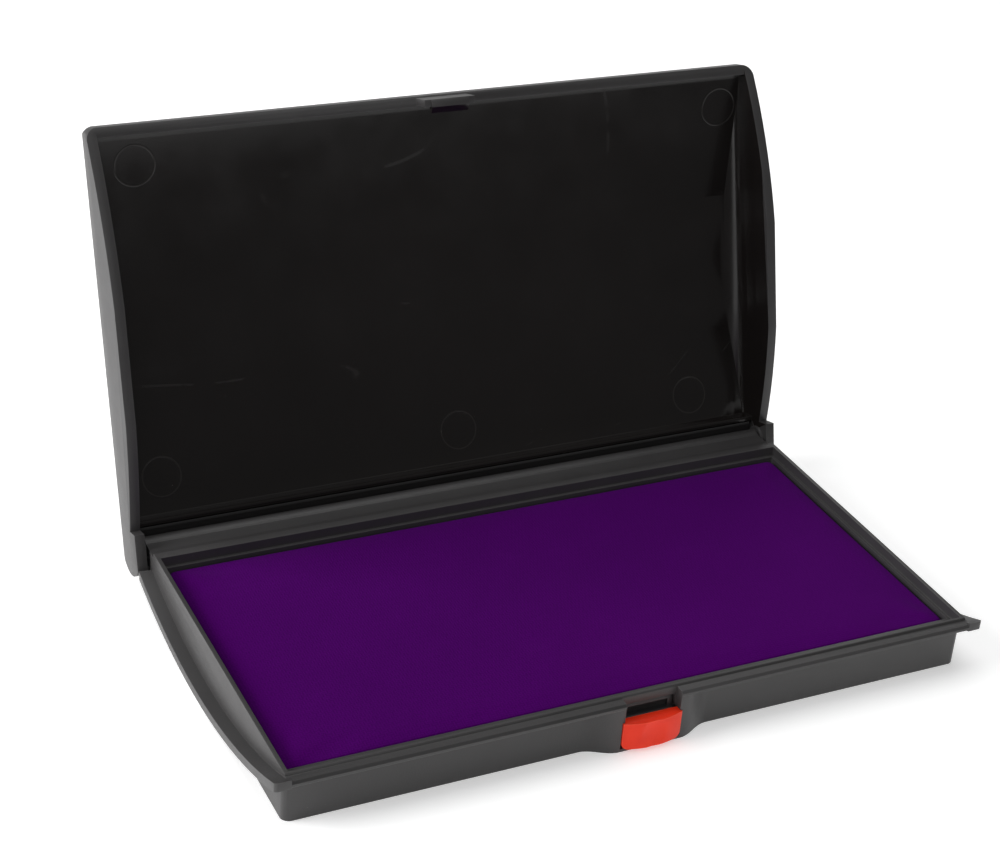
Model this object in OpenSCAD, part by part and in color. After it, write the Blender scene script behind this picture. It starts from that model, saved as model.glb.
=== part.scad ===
// Large desk ink pad: a low moulded tray with a press button at the front,
// a hinged cover with a latch hook, and the layered inked cushion inside.
// Millimetres. Origin on the table under the centre of the cushion, +X right,
// +Y to the hinge, +Z up. The cover is drawn open on its stop.

/* [Cover] */
// How far the cover stands open, degrees
open_angle = 105.6; // [100:0.2:106]
// Thickness of the cover's side and front walls
lid_wall = 2.26; // [1.8:0.02:2.4]
// Thickness of the cover's roof
lid_roof = 2.0; // [1.6:0.1:2.6]
// Height of the cover's crown above the table when it is shut
crown_z = 21.3; // [20.6:0.1:22]

/* [Case] */
// Thickness of the case floor
floor_t = 1.8; // [1.6:0.1:2]
// Height of the frame around the cushion
frame_z = 12.3; // [12:0.1:12.4]
// Height of the side strip below the cover's rim
strip_t = 1.94; // [1.6:0.02:1.98]

/* [Cushion] */
// Height of the inked surface
pad_z = 10.06; // [9.6:0.02:10.6]

/* [Button] */
// Width of the release button
button_w = 13.8; // [12:0.1:13.8]
// Top of the release button
button_top = 7.2; // [6.6:0.1:7.2]

/* [Hidden] */
$fn = 96;
e = 0.01;
// case
body_x = 79.5;                 // half width of the case
front_y0 = -41.25;             // front face
front_y1 = -44.3;              // front of the lip over it
lip_z = 10.64;                 // underside of that lip
ledge_z = 11.9;                // top of the lip
shelf_z = 10.0;                // step round the cushion
shelf_x = 78.6; shelf_y0 = -41.1; shelf_y1 = 38.6;
pocket_x = 77.9; pocket_y = 37.75;
lip_y = -41.95;                // front side of the frame
rear_frame_y = 41.2;
rear_ledge_z = 11.1;
rear_wall_y = 43.6;
web_z = 8.7;
// parting arc
arc_y = 6.1; arc_z = 127.4;
strip_r = 125.4;
rim_r = 125.08;
strip_end = 42.2;
lid_x = 82.42;                 // half width of the cover
lid_front = -44.27;
lid_in_x = lid_x - lid_wall;
lid_in_y = lid_front + lid_wall;
front_rim_z = 12.42;
// hinge
hy = 48.55; hz = 9.43;
barrel_r = 2.3;
pin_r = 1.2;
pin_in = 75.5; pin_out = 81.6;
ear_cy = 48.05; ear_cz = 10.1; ear_r = 6.8;
skirt_in = 4.5;
// roof arc
roof_r = 226; roof_y = 3; roof_c = crown_z - roof_r;
// latch
travel = 1.0;
recess_x = 6.5;
slide_x = 6.0;
catch_f = -41.35;              // front of the catch
catch_z0 = 8.85; catch_z1 = 9.9;
spine_f = -40.35; spine_b = -39.6;
bay_x = 10.9;

// draws a (y, z) outline along X
module along_x(x0, x1) { translate([x0, 0, 0]) rotate([90, 0, 90]) linear_extrude(x1 - x0) children(); }
// a box from two corners
module bx(a, b) { translate(a) cube(b - a); }
// a round bar along X
module bar_x(y, z, r, x0, x1) { translate([x0, y, z]) rotate([0, 90, 0]) cylinder(r = r, h = x1 - x0); }
// a round bar along Y
module bar_y(x, z, r, y0, y1) { translate([x, y0, z]) rotate([-90, 0, 0]) cylinder(r = r, h = y1 - y0); }
module disc(y, z, r) { translate([y, z]) circle(r); }
module open_pose() { translate([0, hy, hz]) rotate([-open_angle, 0, 0]) translate([0, -hy, -hz]) children(); }

// ---- case -------------------------------------------------------------

// swelling of the front face around the button, in plan
function swell(x) = abs(x) <= 7.2 ? 2.95 : abs(x) >= 15.2 ? 0 : 2.95 * (1 + cos(180 * (abs(x) - 7.2) / 8)) / 2;
module swell_plan() {
    polygon(concat([[-15.2, -38.2]],
        [for (i = [0:16]) [-15.2 + i * 0.5, front_y0 - swell(-15.2 + i * 0.5)]],
        [for (i = [16:-1:0]) [15.2 - i * 0.5, front_y0 - swell(15.2 - i * 0.5)]],
        [[15.2, -38.2]]));
}
module case_profile() {
    difference() {
        union() {
            polygon([[front_y0, 0], [front_y0, lip_z], [front_y1 + 0.2, lip_z], [front_y1, lip_z + 0.2],
                     [front_y1, ledge_z - 0.5], [front_y1 + 0.5, ledge_z], [lip_y, ledge_z],
                     [lip_y, frame_z - 0.3], [lip_y + 0.3, frame_z], [rear_frame_y - 0.5, frame_z],
                     [rear_frame_y, frame_z - 0.5], [rear_frame_y, rear_ledge_z], [rear_wall_y, rear_ledge_z],
                     [rear_wall_y, 0]]);
        }
        // hollow behind the cushion wall, open to the underside
        polygon([[39.4, -1], [39.4, 10.2], [41.9, 9.6], [41.9, -1]]);
    }
}
module base_body() {
    difference() {
        union() {
            difference() {
                along_x(-body_x, body_x) case_profile();
                // rounded corners of the front face
                for (s = [-1, 1]) difference() {
                    bx([s > 0 ? body_x - 2 : -body_x - 1, -43, -1], [s > 0 ? body_x + 1 : -body_x + 2, front_y0 + 2, lip_z - 0.14]);
                    translate([s * (body_x - 2), front_y0 + 2, -2]) cylinder(r = 2.04, h = 20);
                }
            }
            // shelf to the hinge barrel, and the barrel
            along_x(-79.3, 79.3) {
                polygon([[rear_wall_y - 0.5, web_z], [rear_wall_y - 0.5, rear_ledge_z], [47.6, rear_ledge_z], [hy, hz], [47.4, web_z]]);
                disc(hy, hz, barrel_r);
            }
            // swelling round the button
            linear_extrude(lip_z + 0.5) swell_plan();
            // side strips under the cover's rim, and their horns
            for (s = [-1, 1]) intersection() {
                difference() {
                    bar_x(arc_y, arc_z, strip_r + strip_t, s > 0 ? 79 : -lid_x, s > 0 ? lid_x : -79);
                    bar_x(arc_y, arc_z, strip_r, -90, 90);
                }
                difference() {
                    bx([-90, front_y1, -1], [90, strip_end, 20]);
                    // rounded tips
                    for (s = [-1, 1]) difference() {
                        bx([s > 0 ? lid_x - 1 : -lid_x - 1, front_y1 - 1, -2], [s > 0 ? lid_x + 1 : -lid_x + 1, front_y1 + 1, 21]);
                        translate([s * (lid_x - 1), front_y1 + 1, -3]) cylinder(r = 1.03, h = 30);
                    }
                }
            }
        }
        // end walls of the rear hollow stay solid
        // cushion pocket
        bx([-pocket_x, -pocket_y, floor_t], [pocket_x, pocket_y, 20]);
        // step outside it, inside the thin rim
        bx([-shelf_x, shelf_y0, shelf_z], [shelf_x, shelf_y1, 20]);
    }
}
module base_shell() color("#3c3a3a") difference() {
    union() {
        base_body();
        // ends and ribs that close the rear hollow
        for (x = [-79.5, -40.6, -0.6, 39.4, 78.3]) bx([x, 39, 0], [x + 1.2, 42.4, 10.3]);
        // roof and walls of the latch bay under the cushion
        bx([-12.1, -38, 0], [12.1, -31.8, 5.2]);
    }
    // slot for the latch slide and its wings
    bx([-recess_x + 0.2, -42.45, -1], [recess_x - 0.2, -38.4, catch_z1 + 0.3]);
    bx([-bay_x, -40.75, 1.45], [bay_x, -33.0, 4.4]);
    // opening closed by the bay cover
    bx([-bay_x, -40.75, -1], [bay_x, -33.0, 1.5]);
    bx([-11.5, -41.0, -1], [11.5, -32.4, 0.9]);
    // notch for the cover's hook, open to the front
    bx([-recess_x, -60, button_top + 0.15], [recess_x, lip_y, 30]);
    // window for the button
    bx([-button_w / 2 - 0.12, -60, 0.7], [button_w / 2 + 0.12, -41.22, button_top + 0.16]);
    bx([-recess_x + 0.2, -42.5, 1.5], [recess_x - 0.2, -40, button_top + 0.16]);
    // pin bores
    for (s = [-1, 1]) bar_x(hy, hz, pin_r, s > 0 ? pin_in : -90, s > 0 ? 90 : -pin_in);
}
module bay_cover() color("#2b2a2a") {
    bx([-11.45, -40.95, 0.05], [11.45, -32.45, 0.9]);
    // two ridges grip the sides of the bay
    for (s = [-1, 1]) bx([s > 0 ? 9.9 : -10.9, -38.4, 0.85], [s > 0 ? 10.9 : -9.9, -34.0, 1.7]);
    // post that holds the slide down
    bx([-3, -38.2, 0.85], [3, -36.2, 1.7]);
}

// ---- cushion ----------------------------------------------------------

module pad_tray() color("#e9e7e2") difference() {
    bx([-77.8, -37.65, floor_t], [77.8, 37.65, 6.6]);
    bx([-76.9, -36.75, floor_t + 0.8], [76.9, 36.75, 10]);
    // step over the latch bay
    bx([-12.3, -40, 0], [12.3, -31.6, 5.25]);
}
module tray_step() color("#e9e7e2") {
    bx([-13.1, -37.65, 5.25], [13.1, -30.8, 6.0]);
    for (s = [-1, 1]) bx([s > 0 ? 12.3 : -13.1, -37.65, floor_t], [s > 0 ? 13.1 : -12.3, -30.8, 6.0]);
    bx([-13.1, -31.6, floor_t], [13.1, -30.8, 6.0]);
}
module felt_reservoir() color("#5b1466") difference() {
    bx([-76.9, -36.75, floor_t + 0.8], [76.9, 36.75, 6.0]);
    bx([-13.1, -40, 0], [13.1, -30.8, 10]);
}
module distribution_foam() color("#6a1a72") bx([-76.9, -36.75, 6.0], [76.9, 36.75, pad_z - 0.5]);
module ink_cloth() color("#3f0b52") difference() {
    bx([-77.8, -37.65, 6.6], [77.8, 37.65, pad_z]);
    bx([-76.9, -36.75, 0], [76.9, 36.75, pad_z - 0.5]);
}

// ---- hinge pins -------------------------------------------------------

module hinge_pin_left() color("#b9bcc0") bar_x(hy, hz, pin_r, -pin_out, -pin_in);
module hinge_pin_right() color("#b9bcc0") bar_x(hy, hz, pin_r, pin_in, pin_out);

// ---- cover ------------------------------------------------------------

module roof_disc(t) { disc(roof_y, roof_c, roof_r - t); }
module lid_outline() {
    intersection() {
        union() {
            intersection() { roof_disc(0); translate([lid_front, -2]) square([ear_cy - lid_front, 30]); }
            disc(ear_cy, ear_cz, ear_r);
        }
        translate([-60, 3]) square([130, 30]);
    }
}
// outline seen from the front, with the rounded long edges
module front_outline(hw, top, r) intersection() {
    translate([-hw, -5]) square([2 * hw, top + 5]);
    union() {
        translate([-hw - 1, -6]) square([2 * hw + 2, top - r + 6]);
        translate([-hw + r, -6]) square([2 * (hw - r), top + 7]);
        for (s = [-1, 1]) translate([s * (hw - r), top - r]) circle(r + 0.04);
    }
}
module along_y(y0, y1) { translate([0, y1, 0]) rotate([90, 0, 0]) linear_extrude(y1 - y0) children(); }
module lid_plan() {
    r = 2.8;
    intersection() {
        translate([-lid_x, lid_front]) square([2 * lid_x, 110]);
        union() {
            translate([-lid_x + r, lid_front - 1]) square([2 * (lid_x - r), 20]);
            translate([-lid_x - 1, lid_front + r]) square([2 * lid_x + 2, 110]);
            for (s = [-1, 1]) translate([s * (lid_x - r), lid_front + r]) circle(r + 0.04);
        }
    }
}
module lid_block() intersection() {
    along_x(-lid_x, lid_x) lid_outline();
    along_y(-60, 70) front_outline(lid_x, crown_z + 0.05, 7);
    translate([0, 0, -10]) linear_extrude(60) lid_plan();
}
module lid_void() {
    intersection() {
        along_x(-lid_in_x, lid_in_x) {
            intersection() { roof_disc(lid_roof); translate([lid_in_y, -5]) square([45.2 - lid_in_y, 40]); }
            disc(hy, hz, skirt_in);
            polygon([[44.9, 13], [44.9, hz - 12], [hy, hz - 12], [hy, 13]]);
            // open sector under the hinge, from the skirt's end to the front
            polygon([[hy, hz], [hy + 20 * cos(-35), hz + 20 * sin(-35)], [hy + 10, -12], [40, -12], [40, hz]]);
        }
        along_y(-60, 70) front_outline(lid_in_x, crown_z - lid_roof + 0.05, 5);
    }
}
module lid_closed() {
    difference() {
        union() {
            difference() {
                lid_block();
                lid_void();
                // underside of the front wall
                bx([-lid_in_x, -60, -10], [lid_in_x, lid_in_y + 1, front_rim_z]);
                // side rims follow the side strips, then drop to the hinge ears
                along_x(-90, 90) difference() {
                    translate([-60, -10]) square([104.2, 23]);
                    disc(arc_y, arc_z, rim_r);
                }
                bx([-90, 43, -10], [90, 90, 4.9]);
            }
            // cross rib in front of the hinge
            intersection() {
                along_x(-lid_in_x - 0.2, lid_in_x + 0.2) intersection() {
                    roof_disc(0.8);
                    translate([43.4, 11.6]) square([1.1, 20]);
                }
                along_y(-60, 70) front_outline(lid_x - 0.8, crown_z - 0.8, 6);
            }
            // bosses round the pins, inside the ears
            for (s = [-1, 1]) bar_x(hy, hz, 3, s > 0 ? 79.6 : -lid_in_x - 0.5, s > 0 ? lid_in_x + 0.5 : -79.6);
            // latch hook under the front rim: blade and rearward nose
            bx([-6.2, -43.9, 7.7], [6.2, -42.3, front_rim_z + 1.5]);
            along_x(-4.6, 4.6) polygon([[-43.9, 7.7], [-43.2, 7.3], [-42.2, 7.3], [-40.75, 8.2], [-40.75, 8.6], [-42.4, 8.75], [-43.9, 8.75]]);
        }
        // pin bores in the ears
        for (s = [-1, 1]) bar_x(hy, hz, pin_r + 0.05, s > 0 ? 70 : -81.75, s > 0 ? 81.75 : -70);
    }
}
module lid_shell() color("#2a2828") open_pose() lid_closed();

// ---- latch ------------------------------------------------------------

module latch_slide() color("#333131") difference() {
    union() {
        // block behind the button
        bx([-slide_x, -42.3, 1.9], [slide_x, spine_b, 6.9]);
        // spine and catch
        bx([-slide_x, spine_f, 6.8], [slide_x, spine_b, catch_z1]);
        difference() {
            bx([-slide_x, catch_f, 6.8], [slide_x, spine_b, catch_z1]);
            bx([-4.9, -60, 6.9], [4.9, spine_f, catch_z0]);
            // lead-in on the catch's front edge
            along_x(-10, 10) polygon([[catch_f - 1, catch_z1 - 1.2], [catch_f, catch_z1 - 1.2], [catch_f + 0.5, catch_z1 + e], [catch_f - 1, catch_z1 + e]]);
        }
        // wings for the springs
        bx([-10.5, -40.45, 2.0], [10.5, spine_b, 4.2]);
        for (s = [-1, 1]) bar_y(s * 8.4, 3.1, 0.55, spine_b - 0.1, spine_b + 0.9);
    }
    // socket for the button's stem
    bx([-3, -50, 2.8], [3, -40.9, 5.4]);
}
module release_button() color("#e03a24") {
    difference() {
        intersection() {
            translate([0, -26.55, 0.8]) cylinder(r = 19.15, h = button_top - 0.8);
            bx([-button_w / 2, -60, 0], [button_w / 2, -42.55, 20]);
            // rounded lower corners
            along_y(-60, -40) {
                translate([-button_w / 2, 2.2]) square([button_w, 10]);
                translate([-button_w / 2 + 1.4, 0.5]) square([button_w - 2.8, 10]);
                for (s = [-1, 1]) translate([s * (button_w / 2 - 1.4), 2.2]) circle(1.4);
            }
        }
        // shallow finger dish
        translate([0, -60.3, 4.1]) sphere(r = 15.1);
    }
    // stem pressed into the slide
    bx([-3, -43.5, 2.8], [3, -40.9, 5.4]);
    bx([-5.4, -42.8, 2.0], [5.4, -42.3, 6.6]);
}
module coil(x, len, r, w, n) {
    // a compression coil drawn as a stack of rings tied by two bars
    for (i = [0:n - 1]) translate([x, spine_b + 0.05 + w + i * (len - 2 * w - 0.1) / (n - 1), 3.1])
        rotate([90, 0, 0]) rotate_extrude() translate([r, 0]) circle(r = w, $fn = 64);
    for (s = [-1, 1]) bar_y(x + s * r, 3.1, w * 0.7, spine_b + 0.05 + w, spine_b + len - 0.05 - w);
}
module button_spring_left() color("#c4c6c9") coil(-8.4, -33.0 - spine_b, 0.85, 0.16, 7);
module button_spring_right() color("#c4c6c9") coil(8.4, -33.0 - spine_b, 0.85, 0.16, 7);

base_shell();
bay_cover();
union() { pad_tray(); tray_step(); }
felt_reservoir();
distribution_foam();
ink_cloth();
hinge_pin_left();
hinge_pin_right();
button_spring_left();
button_spring_right();
lid_shell();
latch_slide();
release_button();
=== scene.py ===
import math

import bmesh
import bpy
from mathutils import Matrix, Vector


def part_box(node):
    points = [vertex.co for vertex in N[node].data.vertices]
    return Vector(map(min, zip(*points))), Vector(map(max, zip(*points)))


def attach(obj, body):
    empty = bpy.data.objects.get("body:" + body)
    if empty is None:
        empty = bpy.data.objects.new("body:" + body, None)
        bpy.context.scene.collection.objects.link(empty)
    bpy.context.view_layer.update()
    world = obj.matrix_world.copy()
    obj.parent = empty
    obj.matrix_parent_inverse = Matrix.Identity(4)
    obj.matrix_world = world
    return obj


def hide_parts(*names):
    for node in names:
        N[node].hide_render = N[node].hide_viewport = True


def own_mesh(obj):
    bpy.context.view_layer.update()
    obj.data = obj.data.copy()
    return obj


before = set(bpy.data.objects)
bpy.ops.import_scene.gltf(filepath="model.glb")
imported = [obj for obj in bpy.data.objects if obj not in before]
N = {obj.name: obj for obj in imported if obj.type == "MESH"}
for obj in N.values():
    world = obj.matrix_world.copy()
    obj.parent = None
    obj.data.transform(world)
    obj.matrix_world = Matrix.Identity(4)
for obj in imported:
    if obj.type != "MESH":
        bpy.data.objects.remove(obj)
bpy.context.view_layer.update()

MM = 0.001
HY, HZ = 48.55, 9.43
OPEN = math.radians(105.6)


# ------------------------------------------------------------------ materials

class Mat:
    """A small helper that builds one procedural material."""

    def __init__(self, name):
        self.m = bpy.data.materials.new(name)
        self.m.use_nodes = True
        self.t = self.m.node_tree
        self.t.nodes.clear()
        self.out = self.n("ShaderNodeOutputMaterial")
        self.p = self.n("ShaderNodeBsdfPrincipled")
        self.t.links.new(self.p.outputs[0], self.out.inputs[0])
        self.co = self.n("ShaderNodeTexCoord").outputs["Object"]

    def n(self, kind, **kw):
        node = self.t.nodes.new(kind)
        for k, v in kw.items():
            setattr(node, k, v)
        return node

    def set(self, **kw):
        for k, v in kw.items():
            self.p.inputs[k.replace("_", " ")].default_value = v

    def link(self, a, b):
        self.t.links.new(a, b)

    def mapped(self, scale=(1, 1, 1), rot=(0, 0, 0)):
        mp = self.n("ShaderNodeMapping")
        mp.inputs["Scale"].default_value = scale
        mp.inputs["Rotation"].default_value = rot
        self.link(self.co, mp.inputs["Vector"])
        return mp.outputs[0]

    def noise(self, scale, detail=4, rough=0.55, vec=None, dist=0.0):
        t = self.n("ShaderNodeTexNoise")
        t.inputs["Scale"].default_value = scale
        t.inputs["Detail"].default_value = detail
        t.inputs["Roughness"].default_value = rough
        t.inputs["Distortion"].default_value = dist
        self.link(vec or self.co, t.inputs["Vector"])
        return t.outputs["Fac"]

    def voronoi(self, scale, feature="F1", vec=None, rand=1.0):
        t = self.n("ShaderNodeTexVoronoi", feature=feature)
        t.inputs["Scale"].default_value = scale
        t.inputs["Randomness"].default_value = rand
        self.link(vec or self.co, t.inputs["Vector"])
        return t.outputs["Distance"]

    def wave(self, scale, direction, dist=0.0, vec=None, profile="SIN"):
        t = self.n("ShaderNodeTexWave", wave_type="BANDS", bands_direction=direction, wave_profile=profile)
        t.inputs["Scale"].default_value = scale
        t.inputs["Distortion"].default_value = dist
        t.inputs["Detail"].default_value = 1.0
        self.link(vec or self.co, t.inputs["Vector"])
        return t.outputs["Fac"]

    def ramp(self, fac, stops):
        r = self.n("ShaderNodeValToRGB")
        e = r.color_ramp.elements
        while len(e) > 1:
            e.remove(e[-1])
        e[0].position, e[0].color = stops[0][0], self.rgba(stops[0][1])
        for pos, col in stops[1:]:
            x = e.new(pos)
            x.color = self.rgba(col)
        self.link(fac, r.inputs[0])
        return r.outputs[0]

    @staticmethod
    def rgba(c):
        return (c, c, c, 1) if isinstance(c, (int, float)) else (*c[:3], 1)

    def maths(self, op, a, b=None):
        m = self.n("ShaderNodeMath", operation=op)
        for i, v in enumerate((a, b)):
            if v is None:
                continue
            if isinstance(v, (int, float)):
                m.inputs[i].default_value = v
            else:
                self.link(v, m.inputs[i])
        return m.outputs[0]

    def mix(self, fac, a, b, mode="MIX"):
        m = self.n("ShaderNodeMix", data_type="RGBA", blend_type=mode)
        m.clamp_factor = True
        ins = {"f": m.inputs[0], "a": m.inputs[6], "b": m.inputs[7]}
        for key, v in (("f", fac), ("a", a), ("b", b)):
            if isinstance(v, (int, float)):
                ins[key].default_value = v if key == "f" else self.rgba(v)
            elif isinstance(v, tuple):
                ins[key].default_value = self.rgba(v)
            else:
                self.link(v, ins[key])
        return m.outputs[2]

    def bump(self, height, distance, strength=1.0, normal=None):
        b = self.n("ShaderNodeBump")
        b.inputs["Strength"].default_value = strength
        b.inputs["Distance"].default_value = distance
        self.link(height, b.inputs["Height"])
        if normal is not None:
            self.link(normal, b.inputs["Normal"])
        return b.outputs[0]

    def edge(self, radius):
        """1 on sharp outer edges and 0 on flats, from a bevelled normal."""
        bv = self.n("ShaderNodeBevel", samples=4)
        bv.inputs["Radius"].default_value = radius
        geo = self.n("ShaderNodeNewGeometry")
        dot = self.n("ShaderNodeVectorMath", operation="DOT_PRODUCT")
        self.link(bv.outputs[0], dot.inputs[0])
        self.link(geo.outputs["Normal"], dot.inputs[1])
        return self.ramp(dot.outputs["Value"], [(0.80, 1.0), (0.97, 0.0)])


def satin_plastic(name, base, rough, grain=1.0, dust=0.25):
    """Moulded plastic with a fine spark-eroded grain, a painted highlight that makes the edges lighter, edges rubbed
    glossier, and a little dust.
    """
    m = Mat(name)
    grain_n = m.noise(5200, 3, 0.6)
    grain_v = m.voronoi(3000)
    cloud = m.noise(38, 5, 0.6)
    rub = m.noise(160, 4, 0.6)
    edge = m.edge(0.00045)
    tone = m.ramp(cloud, [(0.3, tuple(c * 0.90 for c in base)), (0.7, tuple(c * 1.10 for c in base))])
    # painted highlight: sharp edges are painted lighter in colour, as if they catch the light
    tone = m.mix(m.maths("MULTIPLY", edge, 0.30), tone, tuple(min(1, c * 2.6 + 0.015) for c in base))
    speck = m.ramp(m.voronoi(900, vec=m.mapped((1, 1, 1), (0.3, 0.7, 0.2))), [(0.05, 1.0), (0.11, 0.0)])
    mask = m.ramp(m.noise(420, 2, 0.5), [(0.60, 0.0), (0.66, 1.0)])
    speck = m.maths("MULTIPLY", m.maths("MULTIPLY", speck, mask), dust)
    tone = m.mix(speck, tone, (0.32, 0.31, 0.30))
    m.link(tone, m.p.inputs["Base Color"])
    r = m.ramp(m.mix(0.5, cloud, rub), [(0.3, rough - 0.05), (0.7, rough + 0.06)])
    r = m.mix(m.maths("MULTIPLY", edge, 0.5), r, rough - 0.12)
    m.link(r, m.p.inputs["Roughness"])
    h = m.mix(0.5, grain_n, grain_v)
    m.link(m.bump(h, 0.00006 * grain, 0.55), m.p.inputs["Normal"])
    m.set(IOR=1.50)
    return m.m


EJECTORS = ((-71.5, -35.0), (-71.7, 35.3), (1.6, 35.9), (74.8, -34.4), (65.0, 36.7))


def ejector_rings(m):
    """Faint circles left on the roof by the mould's ejector pins."""
    h = Vector((0, HY, HZ)) * MM
    back = h - Matrix.Rotation(OPEN, 3, "X") @ h
    mp = m.mapped((1, 1, 1), (OPEN, 0, 0))
    mp.node.inputs["Location"].default_value = back
    flat = m.n("ShaderNodeVectorMath", operation="MULTIPLY")
    m.link(mp, flat.inputs[0])
    flat.inputs[1].default_value = (1, 1, 0)
    near = None
    for x, y in EJECTORS:
        d = m.n("ShaderNodeVectorMath", operation="DISTANCE")
        m.link(flat.outputs[0], d.inputs[0])
        d.inputs[1].default_value = (x * MM, y * MM, 0)
        one = m.maths("ABSOLUTE", m.maths("SUBTRACT", d.outputs["Value"], 4.5 * MM))
        near = one if near is None else m.maths("MINIMUM", near, one)
    return m.ramp(m.maths("MULTIPLY", near, 1000.0), [(0.10, 1.0), (0.24, 0.0)])


def gloss_plastic(name, base, rough, ejectors=False):
    """The cover's polished inside: nearly black, with flow haze, fine scratches, settled dust and a painted highlight
    along its edges.
    """
    m = Mat(name)
    cloud = m.noise(22, 4, 0.55)
    tone = m.ramp(cloud, [(0.3, tuple(c * 0.85 for c in base)), (0.75, tuple(c * 1.2 for c in base))])
    scratch = m.wave(9, "X", 26, m.mapped((1, 9, 1), (0.2, 0.1, 0.5)))
    scratch = m.ramp(scratch, [(0.0, 1.0), (0.005, 0.0)])
    where = m.ramp(m.noise(55, 3, 0.6), [(0.57, 0.0), (0.66, 1.0)])
    scratch = m.maths("MULTIPLY", scratch, where)
    speck = m.ramp(m.voronoi(620), [(0.020, 1.0), (0.048, 0.0)])
    mask = m.ramp(m.noise(260, 3, 0.6), [(0.55, 0.0), (0.63, 1.0)])
    speck = m.maths("MULTIPLY", speck, mask)
    big = m.ramp(m.voronoi(150, vec=m.mapped((1, 1, 1), (0.5, 0.2, 0.9))), [(0.010, 1.0), (0.019, 0.0)])
    dust = m.maths("MAXIMUM", speck, m.maths("MULTIPLY", big, 0.8))
    edge = m.edge(0.0004)
    # painted highlight: edges are painted lighter in colour, as if they catch the light
    tone = m.mix(m.maths("MULTIPLY", edge, 0.25), tone, (0.06, 0.055, 0.05))
    tone = m.mix(m.maths("MULTIPLY", scratch, 0.07), tone, (0.08, 0.072, 0.068))
    tone = m.mix(m.maths("MULTIPLY", dust, 0.36), tone, (0.26, 0.24, 0.22))
    ring = ejector_rings(m)
    tone = m.mix(m.maths("MULTIPLY", ring, 0.16), tone, (0.07, 0.065, 0.06))
    m.link(tone, m.p.inputs["Base Color"])
    r = m.ramp(m.noise(90, 4, 0.6), [(0.3, rough - 0.04), (0.7, rough + 0.05)])
    r = m.mix(dust, r, 0.7)
    r = m.mix(m.maths("MULTIPLY", scratch, 0.5), r, 0.5)
    m.link(r, m.p.inputs["Roughness"])
    wob = m.noise(16, 2, 0.5)
    fine = m.noise(2600, 2, 0.5)
    nrm = m.bump(wob, 0.0006, 0.18)
    nrm = m.bump(fine, 0.00002, 0.22, nrm)
    nrm = m.bump(ring, 0.00005, 0.5, nrm)
    m.link(nrm, m.p.inputs["Normal"])
    m.set(IOR=1.50)
    m.p.inputs["Specular IOR Level"].default_value = 0.38
    return m.m


def red_plastic(name):
    m = Mat(name)
    cloud = m.noise(240, 4, 0.6)
    edge = m.edge(0.0005)
    tone = m.ramp(cloud, [(0.3, (0.86, 0.032, 0.009)), (0.7, (0.93, 0.044, 0.013))])
    # painted highlight: edges are painted a lighter orange, as if they catch the light
    tone = m.mix(m.maths("MULTIPLY", edge, 0.35), tone, (0.90, 0.16, 0.09))
    m.link(tone, m.p.inputs["Base Color"])
    r = m.ramp(m.noise(500, 3, 0.6), [(0.3, 0.30), (0.7, 0.40)])
    m.link(r, m.p.inputs["Roughness"])
    m.link(m.bump(m.noise(2600, 3, 0.6), 0.00006, 0.35), m.p.inputs["Normal"])
    m.set(IOR=1.49, Subsurface_Weight=0.03, Subsurface_Scale=0.0008)
    m.p.inputs["Specular IOR Level"].default_value = 0.22
    return m.m


def ink_cloth_mat(name):
    """A tight plain weave, wet with violet ink."""
    m = Mat(name)
    wx = m.wave(520, "X", 0.6)
    wy = m.wave(520, "Y", 0.6)
    chk = m.n("ShaderNodeTexChecker")
    chk.inputs["Scale"].default_value = 1040.0
    m.link(m.co, chk.inputs["Vector"])
    weave = m.mix(chk.outputs["Fac"], wx, wy)
    fuzz = m.noise(3800, 4, 0.7)
    pool = m.noise(26, 5, 0.6)
    wear = m.noise(95, 4, 0.6)
    tone = m.ramp(pool, [(0.25, (0.056, 0.0003, 0.101)), (0.55, (0.062, 0.0004, 0.111)), (0.8, (0.068, 0.0008, 0.120))])
    tone = m.mix(m.maths("MULTIPLY", m.ramp(weave, [(0.2, 1.0), (0.6, 0.0)]), 0.30), tone, (0.026, 0.0, 0.052))
    tone = m.mix(m.maths("MULTIPLY", m.ramp(wear, [(0.62, 0.0), (0.75, 1.0)]), 0.10), tone, (0.085, 0.004, 0.14))
    m.link(tone, m.p.inputs["Base Color"])
    m.link(m.ramp(pool, [(0.3, 0.86), (0.75, 0.97)]), m.p.inputs["Roughness"])
    h = m.mix(0.3, weave, fuzz)
    m.link(m.bump(h, 0.00009, 0.7), m.p.inputs["Normal"])
    m.p.inputs["Sheen Weight"].default_value = 0.01
    m.p.inputs["Sheen Roughness"].default_value = 0.5
    m.p.inputs["Specular IOR Level"].default_value = 0.02
    return m.m


def soaked(name, base, cell, rough):
    """Felt or sponge soaked with ink."""
    m = Mat(name)
    a = m.noise(cell, 6, 0.7)
    b = m.voronoi(cell * 0.6)
    tone = m.ramp(a, [(0.3, tuple(c * 0.6 for c in base)), (0.7, tuple(c * 1.4 for c in base))])
    tone = m.mix(m.ramp(b, [(0.15, 0.7), (0.5, 0.0)]), tone, tuple(c * 0.35 for c in base))
    m.link(tone, m.p.inputs["Base Color"])
    m.link(m.ramp(a, [(0.3, rough - 0.1), (0.7, rough)]), m.p.inputs["Roughness"])
    m.link(m.bump(m.mix(0.5, a, b), 0.0003, 0.8), m.p.inputs["Normal"])
    m.p.inputs["Sheen Weight"].default_value = 0.1
    return m.m


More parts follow.
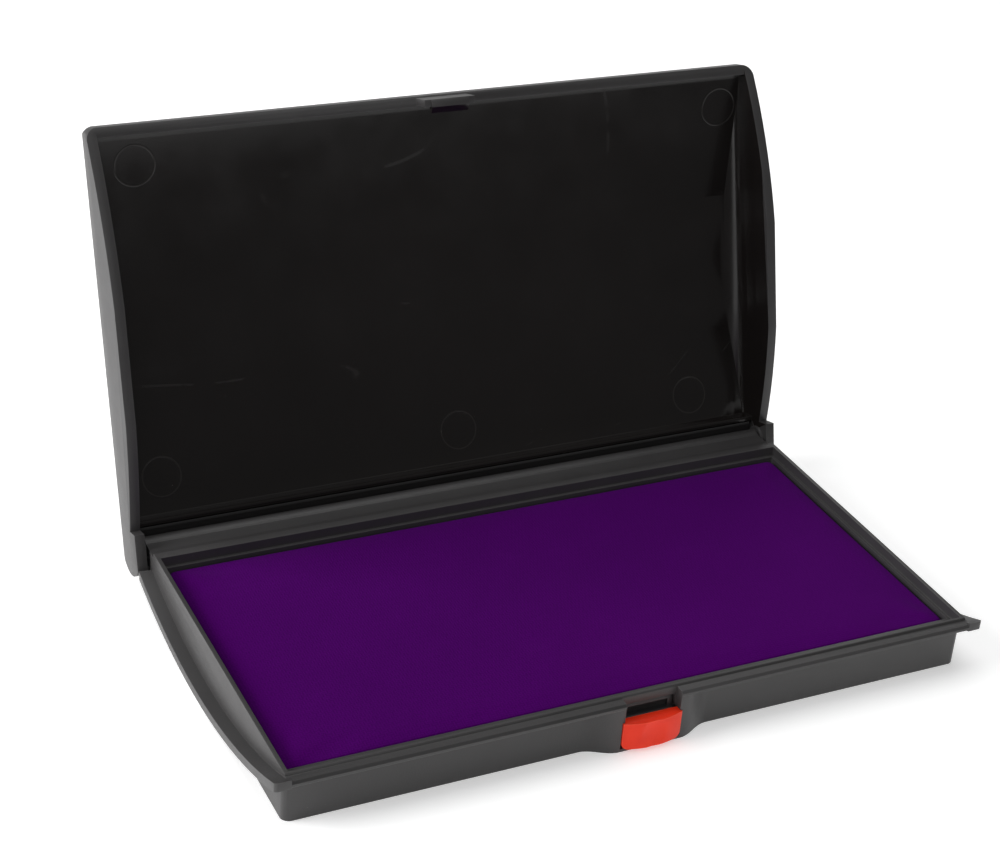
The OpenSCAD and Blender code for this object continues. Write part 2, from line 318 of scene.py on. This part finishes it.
def steel(name, along):
    m = Mat(name)
    s = {"X": (8, 900, 900), "Y": (900, 8, 900)}[along]
    line = m.noise(6, 4, 0.6, m.mapped(s))
    stain = m.noise(700, 4, 0.6)
    tone = m.ramp(line, [(0.3, (0.46, 0.46, 0.47)), (0.7, (0.66, 0.66, 0.67))])
    tone = m.mix(m.maths("MULTIPLY", m.ramp(stain, [(0.55, 0.0), (0.8, 1.0)]), 0.35), tone, (0.30, 0.27, 0.25))
    m.link(tone, m.p.inputs["Base Color"])
    m.link(m.ramp(line, [(0.3, 0.24), (0.7, 0.40)]), m.p.inputs["Roughness"])
    m.link(m.bump(line, 0.00002, 0.4), m.p.inputs["Normal"])
    m.set(Metallic=1.0)
    return m.m


M_case = satin_plastic("case_satin", (0.036, 0.0345, 0.0350), 0.44)
M_cover = satin_plastic("cover_satin", (0.034, 0.0325, 0.0330), 0.42)
M_inside = gloss_plastic("cover_polished_inside", (0.0085, 0.0070, 0.0066), 0.16)
M_latch = satin_plastic("latch_satin", (0.030, 0.029, 0.030), 0.40, 0.6, 0.1)
M_tray = satin_plastic("tray_satin", (0.30, 0.30, 0.31), 0.45, 0.6, 0.1)
M_red = red_plastic("button_red")
M_cloth = ink_cloth_mat("ink_cloth_weave")
M_foam = soaked("ink_sponge", (0.060, 0.001, 0.105), 1800, 0.9)
M_felt = soaked("ink_felt", (0.055, 0.001, 0.095), 900, 0.95)
M_pin = steel("pin_wire", "X")
M_spring = steel("spring_wire", "Y")


# ------------------------------------------------------------------ mesh helpers

def link(obj):
    bpy.context.scene.collection.objects.link(obj)
    return obj


def shade_by_angle(me, deg=32):
    me.polygons.foreach_set("use_smooth", [True] * len(me.polygons))
    bm = bmesh.new()
    bm.from_mesh(me)
    lim = math.radians(deg)
    for e in bm.edges:
        e.smooth = not (len(e.link_faces) == 2 and e.calc_face_angle(0) > lim)
    bm.to_mesh(me)
    bm.free()


def apply_mods(obj):
    dg = bpy.context.evaluated_depsgraph_get()
    me = bpy.data.meshes.new_from_object(obj.evaluated_get(dg))
    obj.modifiers.clear()
    obj.data = me
    return obj


def eased(name, node, width, body, segs=3, limit=30):
    """A copy of a CAD node with its moulded edges rounded; it stands for the node."""
    src = N[node].data
    me = src.copy()
    me.name = name
    obj = link(bpy.data.objects.new(name, me))
    bm = bmesh.new()
    bm.from_mesh(me)
    bmesh.ops.remove_doubles(bm, verts=bm.verts, dist=2e-6)
    bmesh.ops.dissolve_limit(bm, angle_limit=math.radians(0.6), verts=bm.verts, edges=bm.edges,
                             delimit=set(), use_dissolve_boundaries=False)
    # faces that run round a hole are cut up before the edges are rounded
    bmesh.ops.triangulate(bm, faces=[f for f in bm.faces if len(f.verts) > 4], ngon_method="EAR_CLIP")
    bmesh.ops.recalc_face_normals(bm, faces=bm.faces)
    bm.to_mesh(me)
    bm.free()
    b = obj.modifiers.new("ease", "BEVEL")
    b.width = width
    b.segments = segs
    b.limit_method = "ANGLE"
    b.angle_limit = math.radians(limit)
    b.use_clamp_overlap = True
    b.miter_outer = "MITER_ARC"
    b.harden_normals = False
    apply_mods(obj)
    shade_by_angle(obj.data, 32)
    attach(obj, body)
    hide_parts(node)
    return obj


def one_material(obj, mat):
    obj.data.materials.clear()
    obj.data.materials.append(mat)
    for p in obj.data.polygons:
        p.material_index = 0


# ------------------------------------------------------------------ rigid pieces

base = eased("case", "base_shell", 0.32 * MM, "base")
one_material(base, M_case)

lid = eased("cover", "lid_shell", 0.32 * MM, "lid")
lid.data.materials.clear()
lid.data.materials.append(M_cover)
lid.data.materials.append(M_inside)


def closed_co(p):
    """A point of the open cover, in millimetres, as it lies when the cover is shut."""
    y, z = p.y / MM - HY, p.z / MM - HZ
    c, s = math.cos(OPEN), math.sin(OPEN)
    return Vector((p.x / MM, HY + c * y - s * z, HZ + s * y + c * z))


for p in lid.data.polygons:
    q = closed_co(p.center)
    roof = 19.36 - (q.y - 3) ** 2 / 448.0
    inside = abs(q.x) < 80.24 and -42.08 < q.y < 45.3 and q.z < roof + 0.12 and q.z > 4
    p.material_index = 1 if inside else 0

latch = eased("latch_catch", "latch_slide", 0.18 * MM, "button", 2)
one_material(latch, M_latch)
button = eased("press_button", "release_button", 0.30 * MM, "button", 4)
one_material(button, M_red)
tray = eased("cushion_tray", "pad_tray", 0.15 * MM, "base", 2)
one_material(tray, M_tray)
plate = eased("bay_plate", "bay_cover", 0.12 * MM, "base", 2)
one_material(plate, M_latch)
for side in ("left", "right"):
    pin = eased("hinge_wire_" + side, "hinge_pin_" + side, 0.15 * MM, "base", 2)
    one_material(pin, M_pin)


def coil(name, node, x):
    """A real helical spring in the place of the CAD node's rings."""
    lo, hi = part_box(node)
    turns, steps, sides, r, w = 7.0, 24, 10, 0.85 * MM, 0.16 * MM
    n = int(turns * steps)
    bm = bmesh.new()
    rings = []
    z0 = (lo.z + hi.z) / 2
    y0, y1 = lo.y + w, hi.y - w
    pts = []
    for i in range(n + 1):
        a = 2 * math.pi * i / steps
        # closed end turns
        f = i / n
        g = max(0.0, min(1.0, (f - 0.10) / 0.80))
        y = y0 + (y1 - y0) * (0.06 * min(1, f / 0.10) + 0.88 * g + 0.06 * max(0, (f - 0.90) / 0.10))
        pts.append(Vector((x + r * math.cos(a), y, z0 + r * math.sin(a))))
    for i, c in enumerate(pts):
        t = (pts[min(i + 1, n)] - pts[max(i - 1, 0)]).normalized()
        out = Vector((c.x - x, 0, c.z - z0)).normalized()
        up = t.cross(out).normalized()
        out = up.cross(t).normalized()
        rings.append([bm.verts.new(c + w * (math.cos(2 * math.pi * k / sides) * out + math.sin(2 * math.pi * k / sides) * up)) for k in range(sides)])
    for a, b in zip(rings, rings[1:]):
        for k in range(sides):
            bm.faces.new((a[k], a[(k + 1) % sides], b[(k + 1) % sides], b[k]))
    bm.faces.new(rings[0][::-1])
    bm.faces.new(rings[-1])
    bmesh.ops.recalc_face_normals(bm, faces=bm.faces)
    me = bpy.data.meshes.new(name)
    bm.to_mesh(me)
    bm.free()
    obj = link(bpy.data.objects.new(name, me))
    shade_by_angle(me, 40)
    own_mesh(obj)
    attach(obj, "base")
    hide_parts(node)
    one_material(obj, M_spring)
    return obj


coil("return_spring_left", "button_spring_left", -8.4 * MM)
coil("return_spring_right", "button_spring_right", 8.4 * MM)


# ------------------------------------------------------------------ cushion

def slab(name, hx, hy, loops, nx, ny, corner, crown=0.0, notch=None, scale=1.0):
    """A closed soft block made of rectangular loops from the top down; mm in, metres out."""
    bm = bmesh.new()

    def spot(u, v, inset, z, grid=False):
        x, y = u * (hx - inset), v * (hy - inset)
        r = corner
        ax, ay = abs(x) - (hx - inset - r), abs(y) - (hy - inset - r)
        if not grid and r > 0 and ax > 0 and ay > 0:
            d = math.hypot(ax, ay)
            k = r / d if d > 0 else 1
            x = math.copysign(hx - inset - r + ax * k, x)
            y = math.copysign(hy - inset - r + ay * k, y)
        return Vector((x, y, z)) * MM * scale

    def grid(inset, z, up):
        g = []
        for j in range(ny + 1):
            row = []
            for i in range(nx + 1):
                u, v = 2 * i / nx - 1, 2 * j / ny - 1
                edge = abs(u) > 0.9999 or abs(v) > 0.9999
                zz = z + (crown * (1 - u ** 4) * (1 - v ** 4) if up else 0)
                row.append(bm.verts.new(spot(u, v, inset, zz, not edge)))
            g.append(row)
        for j in range(ny):
            for i in range(nx):
                f = (g[j][i], g[j][i + 1], g[j + 1][i + 1], g[j + 1][i])
                bm.faces.new(f if up else f[::-1])
        return g

    def rim(g):
        r = [g[0][i] for i in range(nx)]
        r += [g[j][nx] for j in range(ny)]
        r += [g[ny][i] for i in range(nx, 0, -1)]
        r += [g[j][0] for j in range(ny, 0, -1)]
        return r

    uv = [(2 * i / nx - 1, -1) for i in range(nx)] + [(1, 2 * j / ny - 1) for j in range(ny)]
    uv += [(2 * i / nx - 1, 1) for i in range(nx, 0, -1)] + [(-1, 2 * j / ny - 1) for j in range(ny, 0, -1)]
    top = grid(loops[0][0], loops[0][1], True)
    ring = rim(top)
    for inset, z in loops[1:-1]:
        new = [bm.verts.new(spot(u, v, inset, z)) for u, v in uv]
        for k in range(len(ring)):
            k2 = (k + 1) % len(ring)
            bm.faces.new((ring[k], new[k], new[k2], ring[k2]))
        ring = new
    bottom = rim(grid(loops[-1][0], loops[-1][1], False))
    for k in range(len(ring)):
        k2 = (k + 1) % len(ring)
        bm.faces.new((ring[k], bottom[k], bottom[k2], ring[k2]))
    bmesh.ops.recalc_face_normals(bm, faces=bm.faces)
    me = bpy.data.meshes.new(name)
    bm.to_mesh(me)
    bm.free()
    return link(bpy.data.objects.new(name, me))


PAD_X, PAD_Y, PAD_TOP = 77.72, 37.60, 10.06


def puff(obj, scale, frames=14, cap=0.30):
    """Swells the cushion's cover with a short cloth simulation at ten times size, then holds each point near its start."""
    me = obj.data
    start = [v.co.copy() for v in me.vertices]
    low = min(v.co.z for v in me.vertices)
    pins = obj.vertex_groups.new(name="held")
    held = [v.index for v in me.vertices if v.co.z < low + 2.2 * MM * scale]
    pins.add(held, 1.0, "REPLACE")
    c = obj.modifiers.new("cloth", "CLOTH")
    s = c.settings
    s.quality = 6
    s.mass = 0.3
    s.tension_stiffness = s.compression_stiffness = 30
    s.shear_stiffness = 15
    s.bending_stiffness = 2.0
    s.use_pressure = True
    s.uniform_pressure_force = 3.0
    s.vertex_group_mass = "held"
    s.pin_stiffness = 1.0
    s.effector_weights.gravity = 0
    c.point_cache.frame_start = 1
    c.point_cache.frame_end = frames
    sc = bpy.context.scene
    for f in range(1, frames + 1):
        sc.frame_set(f)
    apply_mods(obj)
    sc.frame_set(1)
    lim = cap * MM * scale
    for v, a in zip(obj.data.vertices, start):
        d = v.co - a
        if d.length > lim:
            v.co = a + d * (lim / d.length)


S = 10.0
cushion = slab("ink_cushion", PAD_X, PAD_Y,
               [(1.05, 9.80), (0.72, 9.74), (0.42, 9.58), (0.20, 9.32), (0.08, 8.95), (0.04, 8.4), (0.04, 7.4), (0.05, 6.64), (0.6, 6.62)],
               104, 50, 1.1, crown=0.0, scale=S)
puff(cushion, S)
# settle the crown to the height the cloth lies at, and pull it in between the corners
zs = sorted(v.co.z for v in cushion.data.vertices)
top = zs[int(len(zs) * 0.995)]
for v in cushion.data.vertices:
    v.co /= S
lift = PAD_TOP * MM - top / S
for v in cushion.data.vertices:
    k = max(0.0, min(1.0, (v.co.z / MM - 7.4) / 2.0))
    v.co.z += lift * k
    u, w = v.co.x / (PAD_X * MM), v.co.y / (PAD_Y * MM)
    if abs(u) > 0.97:
        v.co.x -= math.copysign(0.16 * MM * (1 - w * w), v.co.x) * k
    if abs(w) > 0.95:
        v.co.y -= math.copysign(0.16 * MM * (1 - u * u), v.co.y) * k
    v.co.x = max(-77.78 * MM, min(77.78 * MM, v.co.x))
    v.co.y = max(-37.64 * MM, min(37.64 * MM, v.co.y))
sub = cushion.modifiers.new("soft", "SUBSURF")
sub.levels = sub.render_levels = 1
apply_mods(cushion)
for v in cushion.data.vertices:
    # slow unevenness of the felt under the cloth
    x, y = v.co.x / MM, v.co.y / MM
    k = max(0.0, min(1.0, (v.co.z / MM - 8.5)))
    v.co.z += k * MM * (0.022 * math.sin(x * 0.11 + 0.6) * math.cos(y * 0.17 + 1.1) + 0.014 * math.sin(x * 0.31 + y * 0.23) + 0.008 * math.sin(x * 0.83 - y * 0.71 + 2.0))
cushion.data.polygons.foreach_set("use_smooth", [True] * len(cushion.data.polygons))
one_material(cushion, M_cloth)
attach(cushion, "base")
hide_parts("ink_cloth")

sponge = slab("sponge_layer", 76.8, 36.65, [(0.4, 6.58), (0.1, 6.5), (0.05, 6.3), (0.1, 6.08), (0.4, 6.02)], 40, 20, 1.5)
sponge.data.polygons.foreach_set("use_smooth", [True] * len(sponge.data.polygons))
one_material(sponge, M_foam)
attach(sponge, "base")
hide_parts("distribution_foam")

felt = eased("felt_layer", "felt_reservoir", 0.5 * MM, "base", 3)
one_material(felt, M_felt)


# ------------------------------------------------------------------ stage

def floor():
    bm = bmesh.new()
    n, r = 24, 1.6
    y0, y1 = -0.26, 1.9
    g = [[bm.verts.new((-r + 2 * r * i / n, y0 + (y1 - y0) * j / n, 0)) for i in range(n + 1)] for j in range(n + 1)]
    for j in range(n):
        for i in range(n):
            bm.faces.new((g[j][i], g[j][i + 1], g[j + 1][i + 1], g[j + 1][i]))
    me = bpy.data.meshes.new("floor")
    bm.to_mesh(me)
    bm.free()
    obj = link(bpy.data.objects.new("floor", me))
    m = Mat("pale_floor")
    m.link(m.ramp(m.noise(14, 4, 0.5), [(0.3, (0.86, 0.86, 0.86)), (0.7, (0.88, 0.88, 0.88))]), m.p.inputs["Base Color"])
    m.link(m.ramp(m.noise(60, 3, 0.5), [(0.3, 0.78), (0.7, 0.88)]), m.p.inputs["Roughness"])
    m.p.inputs["Specular IOR Level"].default_value = 0.15
    m.p.inputs["Emission Color"].default_value = (1.0, 1.0, 1.0, 1)
    m.p.inputs["Emission Strength"].default_value = 0.42
    one_material(obj, m.m)


floor()


def area(name, pos, target, size, power, color=(1, 1, 1), size_y=None):
    d = bpy.data.lights.new(name, "AREA")
    d.shape = "RECTANGLE"
    d.size = size
    d.size_y = size_y or size
    d.energy = power
    d.color = color
    o = link(bpy.data.objects.new(name, d))
    o.location = pos
    o.rotation_euler = (Vector(target) - Vector(pos)).to_track_quat("-Z", "Y").to_euler()
    return o


area("top_soft", (0.05, 0.10, 0.95), (0.0, 0.0, 0.0), 0.9, 3.5, size_y=0.7)
area("left_soft", (-0.85, 0.25, 0.42), (0.0, 0.02, 0.03), 0.7, 10.0, size_y=0.6)
area("back_soft", (0.30, 1.05, 0.60), (0.0, 0.10, 0.0), 1.0, 2.6, size_y=0.5)
area("front_soft", (-0.35, -1.15, 0.75), (0.0, 0.0, 0.02), 0.5, 2.6, size_y=0.4)

w = bpy.data.worlds.new("studio")
w.use_nodes = True
bg = w.node_tree.nodes["Background"]
bg.inputs[0].default_value = (1.0, 1.0, 1.0, 1)
bg.inputs[1].default_value = 0.16
bpy.context.scene.world = w

bpy.context.scene.view_settings.view_transform = "Standard"
bpy.context.scene.view_settings.look = "None"
bpy.context.scene.view_settings.exposure = 0.0
bpy.context.scene.view_settings.gamma = 1.0

# ------------------------------------------------------------------ camera

right = Vector((0.8961344227938979, -0.4370038284857696, 0.07727062943077181))
down = Vector((-0.15984473633458476, -0.48027681094784724, -0.8624290377369566))
ahead = Vector((0.4139960827712922, 0.7605010445453353, -0.5002453445015549))
rot = Matrix((right, -down, -ahead)).transposed().to_4x4()
cam = bpy.data.cameras.new("camera")
cam.sensor_fit = "HORIZONTAL"
cam.sensor_width = 36.0
cam.lens = 2195.046 * 36.0 / 1000.0
cam.shift_x = -(540.93 - 500.0) / 1000.0
cam.shift_y = (471.82 - 421.0) / 1000.0
cam.clip_start = 0.01
cam.clip_end = 20.0
cam_obj = link(bpy.data.objects.new("camera", cam))
cam_obj.matrix_world = Matrix.Translation(Vector((-199.7896, -353.7345, 275.2107)) * MM) @ rot
bpy.context.scene.camera = cam_obj
